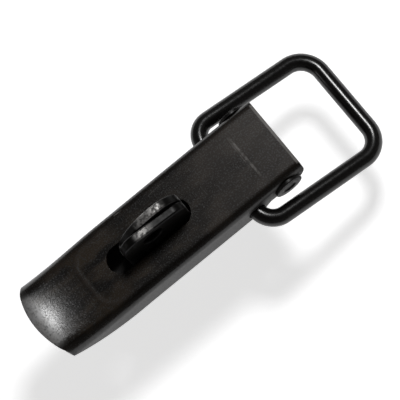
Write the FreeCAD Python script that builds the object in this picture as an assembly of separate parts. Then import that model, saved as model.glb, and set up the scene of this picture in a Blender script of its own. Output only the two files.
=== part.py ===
import FreeCAD, Part

import math
import os

# Lockable over-centre toggle latch, pressed and riveted in black-finished steel.
# Millimetres. The mounting face is z = 0, +Z is away from it, and +X points to the
# bail. The origin is the centre of the four mounting holes, on the mounting face.

# Lever: a channel pressed from sheet, open side down, with a slot and a finger lip.
lever_width = 39.3
lever_depth = 17.5
lever_sheet = 3.0
lever_outer_bend = 4.2
lever_foot_gap = 4.2
lever_behind_pivot = 124.9
lever_past_pivot = 10.0
lever_edge_round = 0.6
lip_flare_length = 29.4
lip_flare_radius = 95.0
lip_end_radius = 40.0
lip_flare_overshoot = 1.2
wall_sweep_length = 42.0
wall_sweep_radius = 53.0
wall_nose_radius = 9.2
wall_nose_depth = 13.8
wall_step_from_pivot = 15.5
wall_step_length = 4.5

# Slot in the lever, which drops over the padlock staple with these gaps round it.
slot_length = 44.5
slot_side_gap = 2.25
slot_front_gap = 1.6
slot_back_gap = 8.7
slot_from_pivot = 39.2
slot_edge_round = 0.5

# Lever pivot: one long rivet through the lever walls and the base ears.
pivot_depth = 8.5
rivet_diameter = 6.0
rivet_head_diameter = 13.8
rivet_head_height = 1.4
rivet_head_round = 0.7
rivet_dimple_diameter = 7.0
rivet_dimple_depth = 0.5
spacer_step = 0.2
running_clearance = 0.08
seat_clearance = 0.02
side_clearance = 0.1

# Bail: one closed loop of round rod, its cross bar held in the lever walls.
bail_rod = 8.0
bail_side_gap = 2.75
bail_length = 65.7
bail_far_bend = 11.0
bail_near_bend = 9.0
bail_from_pivot = 17.7
bail_pivot_depth = 11.3
bail_droop = 18.2
bail_hole_clearance = 0.4

# Base: a flat plate with two ears bent up inside the lever walls.
base_sheet = 3.0
base_side_gap = 0.7
base_corner_round = 5.0
base_outer_bend = 4.0
ear_bend_clearance = 0.25
ear_front_flat = 1.3
ear_foot_behind_pivot = 9.0
relief_width = 2.5

# Mounting holes, countersunk on the lever side.
mount_hole_diameter = 6.6
mount_sink_diameter = 12.0
mount_sink_angle = 90.0
mount_spacing_x = 62.0
mount_side_edge = 6.45
mount_back_edge = 8.0
mount_front_from_pivot = 28.0

# Staple: two angle plates back to back, riveted down through their feet.
staple_plate = 4.0
staple_groove = 0.3
staple_rise = 21.6
right_shoulder_drop = 5.5
right_front_round = 6.5
right_back_round = 7.5
left_shoulder_drop = 0.6
left_front_round = 11.5
left_top_flat = 1.2
staple_edge_round = 0.9
staple_foot_gap = 2.65
staple_inner_bend = 1.5
padlock_hole_diameter = 10.0
padlock_hole_rise = 9.7
padlock_hole_from_end = 19.0
foot_rivet_side_room = 0.35
foot_rivet_head_ratio = 1.6
foot_rivet_head_height = 1.6
foot_rivet_head_round = 1.1
foot_rivet_sink_height = 1.8
foot_rivet_spacing = 18.0

# Sizes and places that follow from the ones above.
lever_top = lever_foot_gap + lever_depth
lever_half = lever_width / 2
inner_half = lever_half - lever_sheet
lever_inner_bend = lever_outer_bend - lever_sheet
lever_inner_top = lever_top - lever_sheet
pivot_x = mount_front_from_pivot + mount_spacing_x / 2
pivot_z = lever_top - pivot_depth
lever_front = pivot_x + lever_past_pivot
lever_back = pivot_x - lever_behind_pivot
rivet_end = lever_half + side_clearance + rivet_head_height

bail_x = pivot_x - bail_from_pivot
bail_z = lever_top - bail_pivot_depth
bail_half = rivet_end + bail_side_gap + bail_rod / 2

base_half = inner_half - base_side_gap
base_behind_pivot = mount_front_from_pivot + mount_spacing_x + mount_back_edge
mount_spacing_y = 2 * (base_half - mount_side_edge)
ear_into_bend = max(lever_inner_bend - base_side_gap, 0)
ear_free_bend = max(lever_inner_bend - ear_bend_clearance, ear_into_bend)
ear_below_top = lever_inner_bend - math.sqrt(ear_free_bend ** 2 - ear_into_bend ** 2)
ear_radius = lever_inner_top - max(ear_below_top, ear_bend_clearance) - pivot_z
base_ahead_of_pivot = ear_radius - ear_front_flat
spacer_diameter = 2 * (ear_radius - spacer_step)

slot_width = 2 * staple_plate + staple_groove + 2 * slot_side_gap
slot_front = pivot_x - slot_from_pivot
slot_back = slot_front - slot_length
staple_front = slot_front - slot_front_gap
staple_back = slot_back + slot_back_gap
staple_length = staple_front - staple_back
left_back_round = staple_length - left_front_round - left_top_flat
staple_top = lever_top + staple_rise
staple_middle = (staple_front + staple_back) / 2
staple_foot_reach = inner_half - staple_foot_gap
foot_flat_from = staple_groove / 2 + staple_plate + staple_inner_bend
foot_rivet_head = staple_foot_reach - foot_flat_from - foot_rivet_side_room
foot_rivet_diameter = foot_rivet_head / foot_rivet_head_ratio

# How close a corner must lie to a face to count as on it.
touch_tolerance = 1e-3

UP = FreeCAD.Vector(0, 0, 1)
ALONG = FreeCAD.Vector(1, 0, 0)
ACROSS = FreeCAD.Vector(0, 1, 0)


def point(x, y, z):
    return FreeCAD.Vector(x, y, z)


def box(low, high):
    size = high.sub(low)
    return Part.makeBox(size.x, size.y, size.z, low)


def rod_across(diameter, x, z, half_length):
    """A round bar along Y, centred on the plane of symmetry."""
    return Part.makeCylinder(diameter / 2, 2 * half_length, point(x, -half_length, z), ACROSS)


def rod_up(diameter, x, y, low, high):
    return Part.makeCylinder(diameter / 2, high - low, point(x, y, low), UP)


def arc_edge(start, middle, end):
    return Part.Arc(start, middle, end).toShape()


def corner_arc(centre, radius, axis_a, axis_b, start, end):
    """A quarter bend in the plane of two unit vectors, from one angle to another."""
    ends = []
    for turn in (start, (start + end) / 2, end):
        angle = math.radians(turn)
        offset = axis_a * (radius * math.cos(angle)) + axis_b * (radius * math.sin(angle))
        ends.append(centre + offset)
    return arc_edge(*ends)


def channel_face(x, half, low, high, sheet, outer_bend):
    """The section of a channel, open side down, in the plane of one x."""
    inner_bend = outer_bend - sheet
    inner = half - sheet
    bend_z = high - outer_bend
    bend_y = half - outer_bend
    left = point(x, -bend_y, bend_z)
    right = point(x, bend_y, bend_z)
    edges = [
        Part.makeLine(point(x, -half, low), point(x, -half, bend_z)),
        corner_arc(left, outer_bend, ACROSS, UP, 180, 90),
        Part.makeLine(point(x, -bend_y, high), point(x, bend_y, high)),
        corner_arc(right, outer_bend, ACROSS, UP, 90, 0),
        Part.makeLine(point(x, half, bend_z), point(x, half, low)),
        Part.makeLine(point(x, half, low), point(x, inner, low)),
        Part.makeLine(point(x, inner, low), point(x, inner, bend_z)),
        corner_arc(right, inner_bend, ACROSS, UP, 0, 90),
        Part.makeLine(point(x, bend_y, high - sheet), point(x, -bend_y, high - sheet)),
        corner_arc(left, inner_bend, ACROSS, UP, 90, 180),
        Part.makeLine(point(x, -inner, bend_z), point(x, -inner, low)),
        Part.makeLine(point(x, -inner, low), point(x, -half, low)),
    ]
    return Part.Face(Part.Wire(edges))


def slot_cutter(back, front, width, low, high):
    radius = width / 2
    middle = box(point(back + radius, -radius, low), point(front - radius, radius, high))
    ends = [rod_up(width, back + radius, 0, low, high), rod_up(width, front - radius, 0, low, high)]
    return middle.fuse(ends)


def lever_end_cutter():
    """What the arc-shaped end of the lip leaves off, seen from above."""
    centre_x = lever_back + lip_end_radius
    reach = 2 * lever_width
    block = box(point(lever_back - reach, -reach, 0), point(centre_x, reach, 2 * lever_top))
    return block.cut(rod_up(2 * lip_end_radius, centre_x, 0, -1, 2 * lever_top + 1))


def wall_sweep_cutters():
    """What the upward sweep of the walls' lower edge leaves off under the lip."""
    start_x = lever_back + wall_sweep_length
    centre_z = lever_foot_gap + wall_sweep_radius
    cutters = []
    for low_y, high_y in ((-lever_width, -inner_half), (inner_half, lever_width)):
        block = box(point(start_x - wall_sweep_radius, low_y, -1), point(start_x, high_y, centre_z))
        cutters.append(block.cut(rod_across(2 * wall_sweep_radius, start_x, centre_z, lever_width)))
    return cutters


def wall_nose_cutters():
    """What the stepped lower edge and the rounded nose of each wall leave off at the pivot end."""
    low = lever_foot_gap - 1
    step_z = lever_top - wall_nose_depth
    step_start = pivot_x - wall_step_from_pivot
    step_end = step_start + wall_step_length
    corners = [
        point(step_start, -lever_width, low),
        point(step_start, -lever_width, lever_foot_gap),
        point(step_end, -lever_width, step_z),
        point(lever_front + 1, -lever_width, step_z),
        point(lever_front + 1, -lever_width, low),
    ]
    step = Part.Face(Part.makePolygon(corners + [corners[0]])).extrude(ACROSS * (2 * lever_width))
    nose_x = lever_front - wall_nose_radius
    nose_z = step_z + wall_nose_radius
    block = box(point(nose_x, -lever_width, low), point(lever_front + 1, lever_width, nose_z))
    return [step, block.cut(rod_across(2 * wall_nose_radius, nose_x, nose_z, lever_width))]


def edges_on_plane(shape, axis_value, value, keep):
    """Edges whose every vertex has the given coordinate, and which the test keeps."""
    found = []
    for edge in shape.Edges:
        if all(abs(axis_value(v.Point) - value) < touch_tolerance for v in edge.Vertexes) and keep(edge):
            found.append(edge)
    return found


def make_lever():
    flare_x = lever_back + lip_flare_length
    section = channel_face(flare_x, lever_half, lever_foot_gap, lever_top, lever_sheet, lever_outer_bend)
    channel = section.extrude(ALONG * (lever_front - flare_x))
    flare_axis = point(flare_x, 0, lever_top + lip_flare_radius)
    flare_angle = math.degrees(math.asin(lip_flare_overshoot * lip_flare_length / lip_flare_radius))
    lip = section.revolve(flare_axis, ACROSS, flare_angle)
    lever = channel.fuse(lip)
    lever = lever.cut([lever_end_cutter()] + wall_nose_cutters() + wall_sweep_cutters())
    lever = lever.cut(slot_cutter(slot_back, slot_front, slot_width, pivot_z, lever_top + 1))
    lever = lever.cut(rod_across(rivet_diameter + 2 * running_clearance, pivot_x, pivot_z, lever_width))
    lever = lever.cut(rod_across(bail_rod + 2 * bail_hole_clearance, bail_x, bail_z, lever_width))
    lever = lever.removeSplitter()
    slot_rim = edges_on_plane(
        lever, lambda p: p.z, lever_top,
        lambda e: slot_back - touch_tolerance < e.BoundBox.XMin and e.BoundBox.XMax < slot_front + touch_tolerance,
    )
    slot_rim = [edge for edge in slot_rim if edge.BoundBox.YMax < lever_half - lever_outer_bend - touch_tolerance]
    lever = lever.makeFillet(slot_edge_round, slot_rim)
    front_rim = edges_on_plane(
        lever, lambda p: p.x, lever_front,
        lambda e: abs(e.BoundBox.ZMin - lever_top) < touch_tolerance,
    )
    return lever.makeFillet(lever_edge_round, front_rim)


def bail_corner(centre_x, centre_y, radius, start, end):
    return corner_arc(point(centre_x, centre_y, 0), radius, ALONG, ACROSS, start, end)


def make_bail():
    """The loop is laid flat about the cross bar's axis, swept, and then drooped."""
    half = bail_half
    far = bail_length
    near_y = half - bail_near_bend
    far_y = half - bail_far_bend
    path = Part.Wire([
        Part.makeLine(point(0, 0, 0), point(0, near_y, 0)),
        bail_corner(bail_near_bend, near_y, bail_near_bend, 180, 90),
        Part.makeLine(point(bail_near_bend, half, 0), point(far - bail_far_bend, half, 0)),
        bail_corner(far - bail_far_bend, far_y, bail_far_bend, 90, 0),
        Part.makeLine(point(far, far_y, 0), point(far, -far_y, 0)),
        bail_corner(far - bail_far_bend, -far_y, bail_far_bend, 0, -90),
        Part.makeLine(point(far - bail_far_bend, -half, 0), point(bail_near_bend, -half, 0)),
        bail_corner(bail_near_bend, -near_y, bail_near_bend, 270, 180),
        Part.makeLine(point(0, -near_y, 0), point(0, 0, 0)),
    ])
    section = Part.Wire(Part.makeCircle(bail_rod / 2, point(0, 0, 0), ACROSS))
    loop = path.makePipeShell([section], True, True)
    loop.rotate(point(0, 0, 0), ACROSS, bail_droop)
    loop.translate(point(bail_x, 0, bail_z))
    return loop


def ear_outline_solid():
    """The side outline of both ears, as a prism across the whole base."""
    front = pivot_x + base_ahead_of_pivot
    back = pivot_x - ear_foot_behind_pivot
    tangent_turn = math.degrees(math.atan2(pivot_z - base_outer_bend, ear_foot_behind_pivot))
    reach = math.hypot(pivot_z - base_outer_bend, ear_foot_behind_pivot)
    tangent_turn = 180 + tangent_turn - math.degrees(math.acos(ear_radius / reach))
    start = math.radians(tangent_turn)
    touch = point(pivot_x + ear_radius * math.cos(start), -base_half, pivot_z + ear_radius * math.sin(start))
    meet = math.radians(-math.degrees(math.acos(base_ahead_of_pivot / ear_radius)))
    front_meet = point(front, -base_half, pivot_z + ear_radius * math.sin(meet))
    top = point(pivot_x, -base_half, pivot_z + ear_radius)
    edges = [
        Part.makeLine(point(back, -base_half, 0), point(back, -base_half, base_outer_bend)),
        Part.makeLine(point(back, -base_half, base_outer_bend), touch),
        arc_edge(touch, top, front_meet),
        Part.makeLine(front_meet, point(front, -base_half, 0)),
        Part.makeLine(point(front, -base_half, 0), point(back, -base_half, 0)),
    ]
    return Part.Face(Part.Wire(edges)).extrude(ACROSS * (2 * base_half))


def countersunk_cutter(x, y, hole, sink, angle, top):
    """A through hole whose cone opens at the given top face."""
    depth = (sink - hole) / 2 / math.tan(math.radians(angle / 2))
    cone = Part.makeCone(hole / 2, sink / 2, depth, point(x, y, top - depth), UP)
    return cone.fuse(rod_up(hole, x, y, -1, top + 1))


def mount_places():
    for x in (-mount_spacing_x / 2, mount_spacing_x / 2):
        for y in (-mount_spacing_y / 2, mount_spacing_y / 2):
            yield x, y


def foot_rivet_places():
    rivet_y = (foot_flat_from + staple_foot_reach) / 2
    for x in (staple_middle - foot_rivet_spacing / 2, staple_middle + foot_rivet_spacing / 2):
        for y in (-rivet_y, rivet_y):
            yield x, y


def foot_rivet_cone(x, y, clearance):
    wide = foot_rivet_head / 2 + clearance
    narrow = foot_rivet_diameter / 2 + clearance
    return Part.makeCone(wide, narrow, foot_rivet_sink_height, point(x, y, 0), UP)


def make_base():
    front = pivot_x + base_ahead_of_pivot
    back = pivot_x - base_behind_pivot
    ears_from = pivot_x - ear_foot_behind_pivot
    plate = box(point(back, -base_half, 0), point(ears_from, base_half, base_sheet))
    rear_corners = [
        edge for edge in plate.Edges
        if edge.BoundBox.XMax < back + touch_tolerance and edge.BoundBox.ZLength > base_sheet / 2
    ]
    plate = plate.makeFillet(base_corner_round, rear_corners)
    top = pivot_z + ear_radius + 1
    turned = channel_face(ears_from, base_half, -top, 0, base_sheet, base_outer_bend)
    turned = turned.mirror(point(0, 0, 0), UP)
    ears = turned.extrude(ALONG * (front - ears_from)).common(ear_outline_solid())
    base = plate.fuse(ears)
    for side in (-1, 1):
        notch_y = side * (base_half - base_outer_bend)
        low = point(ears_from - relief_width, min(notch_y, 2 * notch_y), -1)
        high = point(ears_from, max(notch_y, 2 * notch_y), base_sheet + 1)
        base = base.cut(box(low, high))
    base = base.cut(rod_across(rivet_diameter + 2 * seat_clearance, pivot_x, pivot_z, lever_width))
    for x, y in mount_places():
        base = base.cut(
            countersunk_cutter(x, y, mount_hole_diameter, mount_sink_diameter, mount_sink_angle, base_sheet)
        )
    for x, y in foot_rivet_places():
        base = base.cut(rod_up(foot_rivet_diameter + 2 * seat_clearance, x, y, -1, base_sheet + 1))
        base = base.cut(foot_rivet_cone(x, y, seat_clearance))
    return base.removeSplitter()


def staple_section_face(x):
    """An angle section with its upright against the plane of symmetry, foot to +Y."""
    near = staple_groove / 2
    far = near + staple_plate
    reach = staple_foot_reach
    low = base_sheet
    foot_top = low + staple_plate
    bend = staple_inner_bend
    heel = bend + staple_plate
    centre = point(x, near + heel, low + heel)
    edges = [
        Part.makeLine(point(x, near, staple_top), point(x, near, low + heel)),
        corner_arc(centre, heel, ACROSS, UP, 180, 270),
        Part.makeLine(point(x, near + heel, low), point(x, reach, low)),
        Part.makeLine(point(x, reach, low), point(x, reach, foot_top)),
        Part.makeLine(point(x, reach, foot_top), point(x, near + heel, foot_top)),
        corner_arc(centre, bend, ACROSS, UP, 270, 180),
        Part.makeLine(point(x, far, low + heel), point(x, far, staple_top)),
        Part.makeLine(point(x, far, staple_top), point(x, near, staple_top)),
    ]
    return Part.Face(Part.Wire(edges))


def staple_outline_solid(shoulder_drop, back_round, front_round):
    """The side outline of one plate: a sloping top between two rounded ends."""
    front_top = staple_top - shoulder_drop
    y = -1.0
    corners = [
        point(staple_back, y, base_sheet),
        point(staple_back, y, staple_top),
        point(staple_front, y, front_top),
        point(staple_front, y, base_sheet),
    ]
    outline = Part.Face(Part.makePolygon(corners + [corners[0]]))
    prism = outline.extrude(ACROSS * (staple_foot_reach + 2))
    for end_x, radius in ((staple_back, back_round), (staple_front, front_round)):
        corner = [
            edge for edge in prism.Edges
            if edge.BoundBox.YLength > staple_foot_reach and edge.BoundBox.ZMin > lever_top
            and abs(edge.BoundBox.XMin - end_x) < touch_tolerance
        ]
        prism = prism.makeFillet(radius, corner)
    return prism


def make_staple_plate(side, outline):
    """Side 1 has its foot to +Y. The two plates are sheared by hand to different outlines."""
    angle = staple_section_face(staple_back).extrude(ALONG * staple_length)
    plate = angle.common(outline)
    hole_x = staple_front - padlock_hole_from_end
    hole_z = lever_top + padlock_hole_rise
    plate = plate.cut(rod_across(padlock_hole_diameter, hole_x, hole_z, lever_width))
    for x, y in foot_rivet_places():
        plate = plate.cut(rod_up(foot_rivet_diameter + 2 * seat_clearance, x, y, 0, lever_top))
    plate = plate.removeSplitter()
    rim = []
    for edge in plate.Edges:
        room = edge.BoundBox
        flat_in_y = room.YLength < touch_tolerance
        above_foot = room.ZMax > lever_top
        if flat_in_y and above_foot:
            rim.append(edge)
    plate = plate.makeFillet(staple_edge_round, rim)
    if side < 0:
        plate = plate.mirror(point(0, 0, 0), ACROSS)
    return plate


def make_foot_rivets():
    rivets = []
    foot_top = base_sheet + staple_plate
    for x, y in foot_rivet_places():
        rivet = foot_rivet_cone(x, y, 0)
        rivet = rivet.fuse(rod_up(foot_rivet_diameter, x, y, 0, foot_top))
        head = rod_up(foot_rivet_head, x, y, foot_top, foot_top + foot_rivet_head_height)
        rim = [edge for edge in head.Edges if edge.BoundBox.ZMin > foot_top + touch_tolerance]
        head = head.makeFillet(foot_rivet_head_round, rim)
        rivets.append(rivet.fuse(head).removeSplitter())
    return Part.makeCompound(rivets)


def make_pivot_rivet():
    head_from = lever_half + side_clearance
    rivet = rod_across(rivet_diameter, pivot_x, pivot_z, head_from)
    for side in (-1, 1):
        start = point(pivot_x, side * head_from, pivot_z)
        head = Part.makeCylinder(rivet_head_diameter / 2, rivet_head_height, start, ACROSS * side)
        outer_y = side * (head_from + rivet_head_height)
        rim = [
            edge for edge in head.Edges
            if abs(edge.BoundBox.YMin - outer_y) + edge.BoundBox.YLength < touch_tolerance
        ]
        head = head.makeFillet(rivet_head_round, rim)
        dimple_start = point(pivot_x, outer_y, pivot_z)
        dimple = Part.makeCylinder(rivet_dimple_diameter / 2, rivet_dimple_depth, dimple_start, ACROSS * -side)
        rivet = rivet.fuse(head.cut(dimple))
    return rivet.removeSplitter()


def make_spacer():
    """A tube on the rivet that keeps the ears apart while the rivet is headed."""
    half = base_half - base_sheet - seat_clearance
    tube = rod_across(spacer_diameter, pivot_x, pivot_z, half)
    return tube.cut(rod_across(rivet_diameter + 2 * seat_clearance, pivot_x, pivot_z, half + 1))


os.makedirs("parts", exist_ok=True)
left_outline = staple_outline_solid(left_shoulder_drop, left_back_round, left_front_round)
right_outline = staple_outline_solid(right_shoulder_drop, right_back_round, right_front_round)
pieces = {
    "lever": make_lever(),
    "bail_link": make_bail(),
    "base_plate": make_base(),
    "pivot_rivet": make_pivot_rivet(),
    "pivot_spacer": make_spacer(),
    "staple_plate_left": make_staple_plate(1, left_outline),
    "staple_plate_right": make_staple_plate(-1, right_outline),
    "staple_rivets": make_foot_rivets(),
}
for name, shape in pieces.items():
    assert shape.isValid(), name
    shape.exportStep(f"parts/{name}.step")
    room = shape.BoundBox
    print(f"{name:20s} solids {len(shape.Solids)} volume {shape.Volume:9.1f}", end=" ")
    print(f"x {room.XMin:.2f} {room.XMax:.2f} y {room.YMin:.2f} {room.YMax:.2f} z {room.ZMin:.2f} {room.ZMax:.2f}")
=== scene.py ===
import math

import bmesh
import bpy
from mathutils import Matrix, Vector


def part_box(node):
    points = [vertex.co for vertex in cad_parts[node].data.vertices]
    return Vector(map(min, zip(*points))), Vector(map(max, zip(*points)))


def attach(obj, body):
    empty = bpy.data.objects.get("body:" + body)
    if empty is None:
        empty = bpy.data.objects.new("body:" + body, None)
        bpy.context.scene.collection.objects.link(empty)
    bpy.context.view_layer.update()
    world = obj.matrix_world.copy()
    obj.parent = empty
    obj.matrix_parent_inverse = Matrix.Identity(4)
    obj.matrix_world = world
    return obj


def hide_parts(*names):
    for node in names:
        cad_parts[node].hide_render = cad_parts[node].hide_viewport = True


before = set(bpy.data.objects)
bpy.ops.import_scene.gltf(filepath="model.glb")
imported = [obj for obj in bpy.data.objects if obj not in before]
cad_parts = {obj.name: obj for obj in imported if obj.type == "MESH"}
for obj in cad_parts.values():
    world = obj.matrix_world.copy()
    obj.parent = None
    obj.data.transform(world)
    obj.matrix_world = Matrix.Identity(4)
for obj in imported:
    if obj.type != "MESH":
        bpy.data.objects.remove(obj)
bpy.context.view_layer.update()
MM = 0.001


# Lever: one channel pressed from 3 mm sheet steel, open side down, blacked and oiled.
# Its tail is turned up into a finger lip, where the side bends open out wider than
# they are over the flat panel. Hands and the staple have rubbed it.

lever_low, lever_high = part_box("lever")
LEVER_TOP = 21.7 * MM
LEVER_HALF = 19.65 * MM
PANEL_BEND = 4.2 * MM
LIP_BEND = 6.5 * MM
LIP_CROWN = 1.8 * MM
LIP_BEND_REACH = 46 * MM
FLARE_LENGTH = 29.4 * MM
FLARE_RADIUS = 95 * MM
FACET_GAP = 0.4 * MM
CLEAN_GAP = 0.001 * MM
ROW = 1.5 * MM
WALL_ROW = 1 * MM

LEVER_BLACK = (0.0030, 0.0022, 0.0016, 1)
LEVER_RUBBED = (0.0270, 0.0195, 0.0125, 1)
# A paler brown: painted towards the pivot as a pool of light, and along the raised panel line.
PALE_BROWN = (0.0350, 0.0285, 0.0240, 1)
PIT_BLACK = (0.0015, 0.0015, 0.0015, 1)
# Bare steel for scratches and chips; on the lever it also paints the highlight along the pivot-end rim.
BARE_STEEL_AND_RIM_HIGHLIGHT = (0.20, 0.19, 0.18, 1)


def add(tree, kind, **settings):
    """A new shader node of one kind, with its settings."""
    node = tree.nodes.new(kind)
    for key, value in settings.items():
        setattr(node, key, value)
    return node


def plug(source, socket):
    """Feeds a socket with another socket's output, or sets it to a plain value."""
    if isinstance(source, bpy.types.NodeSocket):
        socket.id_data.links.new(source, socket)
    else:
        socket.default_value = source


def new_finish(name):
    """An empty finish: its material, its shader and the place on the piece that it reads."""
    material = bpy.data.materials.new(name)
    material.use_nodes = True
    tree = material.node_tree
    place = add(tree, "ShaderNodeTexCoord").outputs["Object"]
    return material, tree.nodes["Principled BSDF"].inputs, place


def along_axes(place):
    """The three coordinates of a place, each on its own."""
    split = add(place.id_data, "ShaderNodeSeparateXYZ")
    plug(place, split.inputs[0])
    return split.outputs[0], split.outputs[1], split.outputs[2]


def maths(operation, first, second):
    """One step of arithmetic on two values, of which at least one varies over the piece."""
    tree = (first if isinstance(first, bpy.types.NodeSocket) else second).id_data
    node = add(tree, "ShaderNodeMath", operation=operation)
    plug(first, node.inputs[0])
    plug(second, node.inputs[1])
    return node.outputs[0]


def plus(first, second):
    return maths("ADD", first, second)


def minus(first, second):
    return maths("SUBTRACT", first, second)


def times(first, second):
    return maths("MULTIPLY", first, second)


def larger(first, second):
    return maths("MAXIMUM", first, second)


def gap_from(value, middle):
    """How far a value is from a middle, on either side."""
    return maths("ABSOLUTE", minus(value, middle), 0.0)


def fade(value, low, high, at_low=0.0, at_high=1.0):
    """A smooth change from at_low to at_high while a value goes from low to high."""
    node = add(value.id_data, "ShaderNodeMapRange", interpolation_type="SMOOTHSTEP")
    plug(value, node.inputs["Value"])
    for name, number in (("From Min", low), ("From Max", high), ("To Min", at_low), ("To Max", at_high)):
        node.inputs[name].default_value = number
    return node.outputs["Result"]


def clouds(place, size, detail=3.0, stretch=(1, 1, 1), turn=0.0):
    """Cloudy variation with blobs about `size` metres across, drawn out by `stretch`."""
    mapping = add(place.id_data, "ShaderNodeMapping")
    mapping.inputs["Rotation"].default_value = (0, 0, turn)
    mapping.inputs["Scale"].default_value = stretch
    plug(place, mapping.inputs["Vector"])
    texture = add(place.id_data, "ShaderNodeTexNoise")
    texture.inputs["Scale"].default_value = 1 / size
    texture.inputs["Detail"].default_value = detail
    plug(mapping.outputs["Vector"], texture.inputs["Vector"])
    return texture.outputs["Fac"]


def blend(factor, first, second):
    """A colour that goes from the first to the second as the factor goes from 0 to 1."""
    node = add(factor.id_data, "ShaderNodeMix", data_type="RGBA")
    plug(factor, node.inputs["Factor"])
    first_socket, second_socket = [socket for socket in node.inputs if socket.type == "RGBA"]
    plug(first, first_socket)
    plug(second, second_socket)
    return next(socket for socket in node.outputs if socket.type == "RGBA")


def emboss(height, shader):
    """Raises a finish by a height that is in millimetres."""
    node = add(height.id_data, "ShaderNodeBump")
    node.inputs["Strength"].default_value = 1
    node.inputs["Distance"].default_value = 1 * MM
    plug(height, node.inputs["Height"])
    plug(node.outputs["Normal"], shader["Normal"])


def scratch(place, x, y, turn, half_length, half_width):
    """1 along a thin straight mark seen from above, fading at its ends and sides, 0 elsewhere."""
    mapping = add(place.id_data, "ShaderNodeMapping", vector_type="TEXTURE")
    mapping.inputs["Location"].default_value = (x * MM, y * MM, 0)
    mapping.inputs["Rotation"].default_value = (0, 0, math.radians(turn))
    plug(place, mapping.inputs["Vector"])
    along, across = along_axes(mapping.outputs["Vector"])[:2]
    length_fade = fade(gap_from(along, 0.0), 0.5 * half_length * MM, half_length * MM, 1, 0)
    width_fade = fade(gap_from(across, 0.0), 0.3 * half_width * MM, half_width * MM, 1, 0)
    return times(length_fade, width_fade)


lever_finish, lever_shader, place = new_finish("lever_black")
x, y, z = along_axes(place)
side = gap_from(y, 0.0)
patches = clouds(place, 16 * MM, 4)
streaks = clouds(place, 5 * MM, 5, (0.25, 1, 1), 0.35)
drawn = clouds(place, 9 * MM, 4, (0.45, 1, 1), -0.9)
grain = clouds(place, 0.75 * MM, 2)
fine_grain = clouds(place, 0.3 * MM, 2)

# The end of the flat panel towards the lip is a soft raised line with rounded corners.
PANEL_END_X = -36.5 * MM
PANEL_CORNER = 8 * MM
PANEL_CORNER_Y = 6.5 * MM
PANEL_LINE_HALF = 1.9 * MM
past_end = larger(minus(PANEL_END_X + PANEL_CORNER, x), 0.0)
past_side = larger(minus(side, PANEL_CORNER_Y), 0.0)
corner_run = maths("SQRT", plus(maths("POWER", past_end, 2.0), maths("POWER", past_side, 2.0)), 0.0)
panel_line = fade(gap_from(corner_run, PANEL_CORNER), 0.0, PANEL_LINE_HALF, 1, 0)
panel_line = times(panel_line, fade(x, -26 * MM, -12 * MM, 1, 0))

# Marks: place, turn, half length and half width of each, in millimetres and degrees,
# and how bare it is. The first two run across the panel near the pivot.
SCRATCHES = (
    (52.1, 0.0, 91, 13.0, 0.75, 1.0),
    (51.0, 3.0, 89, 10.0, 0.40, 0.5),
    (-6.8, 17.1, -4, 2.6, 0.45, 1.0),
    (36.0, -4.0, 20, 9.0, 0.35, 0.10),
    (27.0, 9.0, -15, 6.0, 0.30, 0.12),
    (-44.0, 6.0, 75, 4.0, 0.30, 0.10),
    (12.0, 14.5, 3, 4.5, 0.30, 0.35),
    (-22.0, 13.0, -24, 2.5, 0.30, 0.30),
)
scratches_and_rim_highlight = 0.0
for mark_x, mark_y, turn, half_length, half_width, bareness in SCRATCHES:
    mark = scratch(place, mark_x, mark_y, turn, half_length, half_width)
    scratches_and_rim_highlight = larger(times(mark, bareness), scratches_and_rim_highlight)
scratches_and_rim_highlight = times(scratches_and_rim_highlight, fade(clouds(place, 2.2 * MM, 3), 0.30, 0.62, 0.15, 0.6))

# A thin pale line along the top of the cut edge at the pivot end is a painted highlight, broken up in
# places.
rim_highlight = fade(gap_from(x, lever_high.x - 0.75 * MM), 0.3 * MM, 0.8 * MM, 1, 0)
rim_highlight = times(rim_highlight, fade(z, LEVER_TOP - 0.5 * MM, LEVER_TOP - 0.1 * MM))
scratches_and_rim_highlight = larger(scratches_and_rim_highlight, times(rim_highlight, fade(patches, 0.3, 0.6, 0.5, 0.9)))

# Colour: black in the bends, browner where hands rub the panel, and paler towards the pivot, which is a
# painted pool of light.
panel = fade(side, 14 * MM, 18 * MM, 1, 0.1)
rubbed = fade(plus(times(patches, 0.5), times(streaks, 0.5)), 0.40, 0.60)
pits = fade(grain, 0.50, 0.72)
colour = blend(times(rubbed, panel), LEVER_BLACK, LEVER_RUBBED)
# Painted light: the panel is painted paler towards the pivot, as a pool of light.
colour = blend(times(fade(x, -10 * MM, 64 * MM, 0, 0.75), panel), colour, PALE_BROWN)
colour = blend(times(panel_line, 0.55), colour, PALE_BROWN)
colour = blend(fade(drawn, 0.50, 0.66, 0, 0.5), colour, LEVER_BLACK)
colour = blend(pits, colour, PIT_BLACK)
# Bare steel shows in the scratches, and the pivot-end rim is painted pale as a highlight.
plug(blend(scratches_and_rim_highlight, colour, BARE_STEEL_AND_RIM_HIGHLIGHT), lever_shader["Base Color"])

# Gloss: oiled and smooth, most so on the lip, dull in the pits, walls and at the tip.
rough = plus(fade(rubbed, 0, 1, 0.235, 0.255), fade(x, -52 * MM, -34 * MM, -0.035, 0))
rough = plus(rough, times(pits, 0.15))
rough = plus(rough, fade(side, LEVER_HALF - 1.2 * MM, LEVER_HALF - 0.1 * MM, 0, 0.25))
rough = plus(rough, fade(x, lever_low.x + 0.5 * MM, lever_low.x + 9 * MM, 0.26, 0))
plug(rough, lever_shader["Roughness"])
height = plus(times(grain, 0.030), times(fine_grain, 0.004))
height = plus(height, times(panel_line, 0.05))
emboss(minus(height, times(pits, 0.006)), lever_shader)


def merged_copy(node_name):
    """A closed, merged copy of one of the latch's parts to work on."""
    shape = bmesh.new()
    shape.from_mesh(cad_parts[node_name].data)
    bmesh.ops.remove_doubles(shape, verts=shape.verts, dist=CLEAN_GAP)
    return shape


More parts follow.
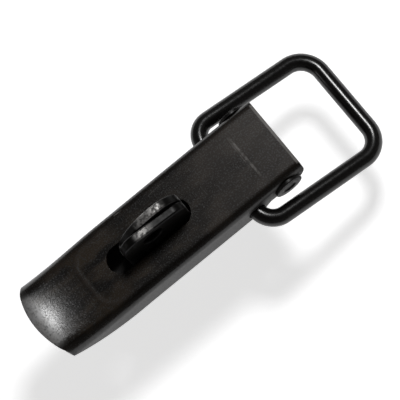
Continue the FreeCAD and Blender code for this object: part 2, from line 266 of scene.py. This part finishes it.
def cut_rows(shape, axis, start, stop, step):
    """Cuts the whole shape with evenly spaced planes across one axis."""
    normal = Vector((0, 0, 0))
    normal[axis] = 1
    for row in range(round((stop - start) / step) + 1):
        cut = normal * (start + row * step)
        every = shape.verts[:] + shape.edges[:] + shape.faces[:]
        bmesh.ops.bisect_plane(shape, geom=every, dist=CLEAN_GAP / 2, plane_co=cut, plane_no=normal)


def hang_piece(shape, name, node_name, body, finish, sharp_angle):
    """Turns a shape into a finished piece that stands for a part and rides with its body."""
    mesh = bpy.data.meshes.new(name)
    shape.to_mesh(mesh)
    shape.free()
    mesh.shade_smooth()
    mesh.set_sharp_from_angle(angle=math.radians(sharp_angle))
    mesh.materials.append(finish)
    piece = bpy.data.objects.new(name, mesh)
    bpy.context.scene.collection.objects.link(piece)
    shading = piece.modifiers.new("even_shading", "WEIGHTED_NORMAL")
    shading.keep_sharp = True
    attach(piece, body)
    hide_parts(node_name)


def open_out_bend(point):
    """Rounds and crowns the lip, and widens the side bends along the tail towards it."""
    from_tip = point.x - lever_low.x
    share = min(max(1 - from_tip / LIP_BEND_REACH, 0), 1)
    wide = PANEL_BEND + (LIP_BEND - PANEL_BEND) * share * share * (3 - 2 * share)
    flare = max(FLARE_LENGTH - from_tip, 0)
    top = LEVER_TOP + FLARE_RADIUS - math.sqrt(FLARE_RADIUS ** 2 - flare ** 2)
    if abs(point.y) <= LEVER_HALF - PANEL_BEND and abs(point.z - top) < FACET_GAP:
        point.z = top
    crown = LIP_CROWN * share * (point.y / LEVER_HALF) ** 2
    point.z -= crown
    top -= crown
    reach_y = abs(point.y) - (LEVER_HALF - wide)
    reach_z = point.z - (top - wide)
    if reach_y <= 0 or reach_z <= 0:
        return
    tight_y = abs(point.y) - (LEVER_HALF - PANEL_BEND)
    tight_z = point.z - (top - PANEL_BEND)
    if tight_y <= 0:
        depth = top - point.z
    elif tight_z <= 0:
        depth = LEVER_HALF - abs(point.y)
    else:
        depth = PANEL_BEND - math.hypot(tight_y, tight_z)
    radius = wide - min(max(depth, 0), 0.95 * wide)
    reach = math.hypot(reach_y, reach_z)
    point.y = math.copysign(LEVER_HALF - wide + reach_y / reach * radius, point.y)
    point.z = top - wide + reach_z / reach * radius


lever = merged_copy("lever")
cut_rows(lever, 0, lever_low.x + 1 * MM, lever_low.x + LIP_BEND_REACH, ROW)
cut_rows(lever, 1, -18 * MM, 18 * MM, ROW)
cut_rows(lever, 2, 11 * MM, 25 * MM, WALL_ROW)
for corner in lever.verts:
    open_out_bend(corner.co)
hang_piece(lever, "lever_pressing", "lever", "lever", lever_finish, 32)


# Bail: one closed loop of 8 mm round steel bar, bent on a jig, butt welded inside the
# lever and blacked. It carries the pull when the latch is closed.

ROD_RADIUS = 4.0 * MM
BAIL_HALF = 27.9 * MM
BAIL_LENGTH = 65.7 * MM
NEAR_BEND = 9.0 * MM
FAR_BEND = 11.0 * MM
BAIL_PLACE = Vector((41.3 * MM, 0, 10.4 * MM))
DROOP = math.radians(18.2)
ROD_SIDES = 40
BEND_STEPS = 14
WELD_GAP = 0.01 * MM
ROD_BLACK = (0.0035, 0.0032, 0.0030, 1)

rod_finish, rod_shader, place = new_finish("rod_black")
nicks = clouds(place, 1.3 * MM, 3)
dents = clouds(place, 3.5 * MM, 2)
chipped = fade(clouds(place, 1.0 * MM, 4, (1, 0.35, 1)), 0.745, 0.79)
plug(blend(chipped, ROD_BLACK, BARE_STEEL_AND_RIM_HIGHLIGHT), rod_shader["Base Color"])
plug(fade(nicks, 0.3, 0.7, 0.20, 0.26), rod_shader["Roughness"])
emboss(plus(times(nicks, 0.004), times(dents, 0.02)), rod_shader)

bail = bmesh.new()
ring = bmesh.ops.create_circle(bail, segments=ROD_SIDES, radius=ROD_RADIUS)["verts"]
bmesh.ops.rotate(bail, verts=ring, cent=(0, 0, 0), matrix=Matrix.Rotation(math.radians(90), 3, "X"))


def run_straight(end, along):
    """Pulls the open end of the bar out by a vector and gives its new end."""
    grown = bmesh.ops.extrude_edge_only(bail, edges=end)["geom"]
    moved = [item for item in grown if isinstance(item, bmesh.types.BMVert)]
    bmesh.ops.translate(bail, verts=moved, vec=along)
    return [item for item in grown if isinstance(item, bmesh.types.BMEdge) and len(item.link_faces) == 1]


def bend_round(end, centre):
    """Bends the open end a quarter turn, clockwise from above, and gives its new end."""
    made = bmesh.ops.spin(
        bail, geom=end, cent=centre, axis=(0, 0, 1), dvec=(0, 0, 0),
        angle=math.radians(-90), steps=BEND_STEPS, use_merge=False, use_duplicate=False,
    )["geom_last"]
    return [item for item in made if isinstance(item, bmesh.types.BMEdge)]


near_y = BAIL_HALF - NEAR_BEND
far_y = BAIL_HALF - FAR_BEND
far_x = BAIL_LENGTH - FAR_BEND
side_run = far_x - NEAR_BEND
open_end = bail.edges[:]
for run, bend_centre in (
    ((0, near_y, 0), (NEAR_BEND, near_y, 0)),
    ((side_run, 0, 0), (far_x, far_y, 0)),
    ((0, -2 * far_y, 0), (far_x, -far_y, 0)),
    ((-side_run, 0, 0), (NEAR_BEND, -near_y, 0)),
):
    open_end = bend_round(run_straight(open_end, run), bend_centre)
run_straight(open_end, (0, near_y, 0))
bmesh.ops.remove_doubles(bail, verts=bail.verts, dist=WELD_GAP)
bmesh.ops.rotate(bail, verts=bail.verts, cent=(0, 0, 0), matrix=Matrix.Rotation(DROOP, 3, "Y"))
bmesh.ops.translate(bail, verts=bail.verts, vec=BAIL_PLACE)
bmesh.ops.recalc_face_normals(bail, faces=bail.faces)
hang_piece(bail, "bail_loop", "bail_link", "bail", rod_finish, 60)


# Staple: two angle plates back to back, sheared from 4 mm strip to slightly different
# outlines. Padlocks and the lever's slot have rubbed their top edges to bright steel.

STAPLE_TOP = 43.3 * MM
WORN_MIDDLE_X = 2 * MM
STAPLE_BLACK = (0.0035, 0.0032, 0.0030, 1)
WORN_STEEL = (0.42, 0.41, 0.40, 1)

staple_finish, staple_shader, place = new_finish("staple_black")
x, y, z = along_axes(place)
scuffs = clouds(place, 1.6 * MM, 4)
fine_scuffs = clouds(place, 0.5 * MM, 2)
face_up = along_axes(add(place.id_data, "ShaderNodeNewGeometry").outputs["Normal"])[2]
worn = fade(z, STAPLE_TOP - 3.5 * MM, STAPLE_TOP - 0.8 * MM)
worn = times(worn, fade(gap_from(x, WORN_MIDDLE_X), 4 * MM, 11 * MM, 1, 0))
worn = times(worn, fade(scuffs, 0.40, 0.58, 0.25, 1))
worn = times(worn, fade(face_up, 0.25, 0.7))
plug(blend(worn, STAPLE_BLACK, WORN_STEEL), staple_shader["Base Color"])
plug(times(worn, 0.8), staple_shader["Metallic"])
plug(fade(scuffs, 0.3, 0.7, 0.30, 0.42), staple_shader["Roughness"])
plug(0.1, staple_shader["Specular IOR Level"])
emboss(plus(times(scuffs, 0.08), times(fine_scuffs, 0.02)), staple_shader)
for hand in ("left", "right"):
    plate = merged_copy(f"staple_plate_{hand}")
    hang_piece(plate, f"staple_{hand}", f"staple_plate_{hand}", "base", staple_finish, 32)


# Pivot rivet: a 6 mm steel bar through the lever's walls and the base's ears, headed
# cold at both ends into a broad flat head with a shallow dimple.

RIVET_PLACE = Vector((59 * MM, 0, 13.2 * MM))
RIVET_RADIUS = 3.0 * MM
HEAD_RADIUS = 6.9 * MM
HEAD_FROM = 19.75 * MM
HEAD_OUT = 21.15 * MM
HEAD_ROUND = 0.45 * MM
DIMPLE_RADIUS = 3.5 * MM
DIMPLE_FLOOR = 2.8 * MM
DIMPLE_DEPTH = 0.5 * MM
RIVET_SIDES = 56
RIVET_GAP = 0.002 * MM
RIVET_BLACK = (0.0035, 0.0032, 0.0030, 1)
RIVET_SCALED = (0.010, 0.009, 0.0085, 1)

rivet_finish, rivet_shader, place = new_finish("rivet_black")
forge_scale = clouds(place, 0.9 * MM, 3)
plug(blend(fade(forge_scale, 0.35, 0.7), RIVET_BLACK, RIVET_SCALED), rivet_shader["Base Color"])
plug(fade(forge_scale, 0.3, 0.7, 0.30, 0.44), rivet_shader["Roughness"])
plug(0.15, rivet_shader["Specular IOR Level"])
emboss(times(forge_scale, 0.06), rivet_shader)

rivet = bmesh.new()
half_profile = (
    (0, HEAD_OUT - DIMPLE_DEPTH),
    (DIMPLE_FLOOR, HEAD_OUT - DIMPLE_DEPTH),
    (DIMPLE_RADIUS, HEAD_OUT),
    (HEAD_RADIUS, HEAD_OUT),
    (HEAD_RADIUS, HEAD_FROM),
    (RIVET_RADIUS, HEAD_FROM),
    (RIVET_RADIUS, 0),
)
line = [rivet.verts.new((radius, along, 0)) for radius, along in half_profile]
for pair in zip(line, line[1:]):
    rivet.edges.new(pair)
bmesh.ops.bevel(
    rivet, geom=line[1:4], offset=HEAD_ROUND, segments=4, profile=0.5,
    affect="VERTICES", material=-1, clamp_overlap=True,
)
bmesh.ops.spin(
    rivet, geom=rivet.verts[:] + rivet.edges[:], cent=(0, 0, 0), axis=(0, 1, 0), dvec=(0, 0, 0),
    angle=math.radians(360), steps=RIVET_SIDES, use_merge=True, use_duplicate=False,
)
bmesh.ops.remove_doubles(rivet, verts=rivet.verts, dist=RIVET_GAP)
one_half = rivet.verts[:] + rivet.edges[:] + rivet.faces[:]
bmesh.ops.mirror(rivet, geom=one_half, axis="Y", merge_dist=RIVET_GAP)
bmesh.ops.translate(rivet, verts=rivet.verts, vec=RIVET_PLACE)
bmesh.ops.remove_doubles(rivet, verts=rivet.verts, dist=RIVET_GAP)
bmesh.ops.recalc_face_normals(rivet, faces=rivet.faces)
hang_piece(rivet, "pivot_rivet_headed", "pivot_rivet", "base", rivet_finish, 40)


# Base plate, spacer tube and foot rivets: blacked steel under the lever. The plate's
# ears are bent up inside the lever's walls, the tube keeps them apart, and the four
# flat-headed rivets hold the staple's feet down.

BASE_BLACK = (0.0045, 0.0042, 0.0040, 1)
BASE_OILED = (0.010, 0.009, 0.008, 1)

base_finish, base_shader, place = new_finish("base_black")
oil = clouds(place, 9 * MM, 4)
grit = clouds(place, 0.8 * MM, 2)
plug(blend(fade(oil, 0.35, 0.65), BASE_BLACK, BASE_OILED), base_shader["Base Color"])
plug(fade(oil, 0.3, 0.7, 0.36, 0.50), base_shader["Roughness"])
plug(0.3, base_shader["Specular IOR Level"])
emboss(times(grit, 0.04), base_shader)
for node_name, slot_name, finish in (
    ("base_plate", "base_black", base_finish),
    ("pivot_spacer", "rivet_black", rivet_finish),
    ("staple_rivets", "rivet_black", rivet_finish),
):
    part = merged_copy(node_name)
    hang_piece(part, f"{node_name}_finished", node_name, "base", finish, 32)


# Studio: a pale floor, a soft box on the bail side, a weaker one at the lip, and a dim
# pale surround. The latch is held clear of the floor, so that its bail can swing down
# past the mounting face.

AIM = Vector((24.95 * MM, -2.16 * MM, LEVER_TOP))
FLOOR_Z = -45 * MM
FLOOR_HALF = 6
FLOOR_WHITE = (0.90, 0.90, 0.91, 1)
FLOOR_GLOW = 0.68
SURROUND_WHITE = (1.0, 0.965, 0.93, 1)

floor_mesh = bpy.data.meshes.new("studio_floor")
floor = bmesh.new()
bmesh.ops.create_grid(floor, x_segments=1, y_segments=1, size=FLOOR_HALF)
bmesh.ops.translate(floor, verts=floor.verts, vec=(0, 0, FLOOR_Z))
floor.to_mesh(floor_mesh)
floor.free()
floor_object = bpy.data.objects.new("studio_floor", floor_mesh)
bpy.context.scene.collection.objects.link(floor_object)
floor_finish, floor_shader = new_finish("studio_floor")[:2]
plug(FLOOR_WHITE, floor_shader["Base Color"])
plug(0.9, floor_shader["Roughness"])
plug((1, 1, 1, 1), floor_shader["Emission Color"])
plug(FLOOR_GLOW, floor_shader["Emission Strength"])
floor_mesh.materials.append(floor_finish)


def soft_box(name, direction, distance, width, height, power):
    """A soft box that faces the latch from a direction."""
    data = bpy.data.lights.new(name, "AREA")
    data.shape = "RECTANGLE"
    data.size = width
    data.size_y = height
    data.energy = power
    light = bpy.data.objects.new(name, data)
    toward = Vector(direction).normalized()
    light.location = AIM + toward * distance
    light.rotation_mode = "QUATERNION"
    light.rotation_quaternion = toward.to_track_quat("Z", "Y")
    bpy.context.scene.collection.objects.link(light)


soft_box("main_box", (0.385, 0.25, 0.88), 1.2, 0.24, 0.26, 7.8)
soft_box("fill_box", (-0.80, 0.30, 0.40), 1.8, 0.5, 0.5, 1.0)

world = bpy.data.worlds.new("studio")
world.use_nodes = True
surround = world.node_tree.nodes["Background"].inputs
sky_height = along_axes(add(world.node_tree, "ShaderNodeTexCoord").outputs["Generated"])[2]
plug(SURROUND_WHITE, surround["Color"])
plug(fade(sky_height, 0.35, 1.0, 0.10, 0.022), surround["Strength"])
bpy.context.scene.world = world
bpy.context.scene.view_settings.view_transform = "Standard"


# Camera: a long lens almost above the lever, tipped towards its right side.

TILT = math.radians(14.87)
ROLL = math.radians(39.3)
CAMERA_DISTANCE = 1.254
back = Vector((0, -math.sin(TILT), math.cos(TILT)))
level = Vector((1, 0, 0))
rise = back.cross(level)
right = level * math.cos(ROLL) - rise * math.sin(ROLL)
up = level * math.sin(ROLL) + rise * math.cos(ROLL)
camera_data = bpy.data.cameras.new("camera")
camera_data.sensor_width = 36
camera_data.lens = 258
camera_data.clip_start = 0.05
camera = bpy.data.objects.new("camera", camera_data)
camera.rotation_mode = "QUATERNION"
camera.rotation_quaternion = Matrix((right, up, back)).transposed().to_quaternion()
camera.location = AIM + back * CAMERA_DISTANCE
bpy.context.scene.collection.objects.link(camera)
bpy.context.scene.camera = camera
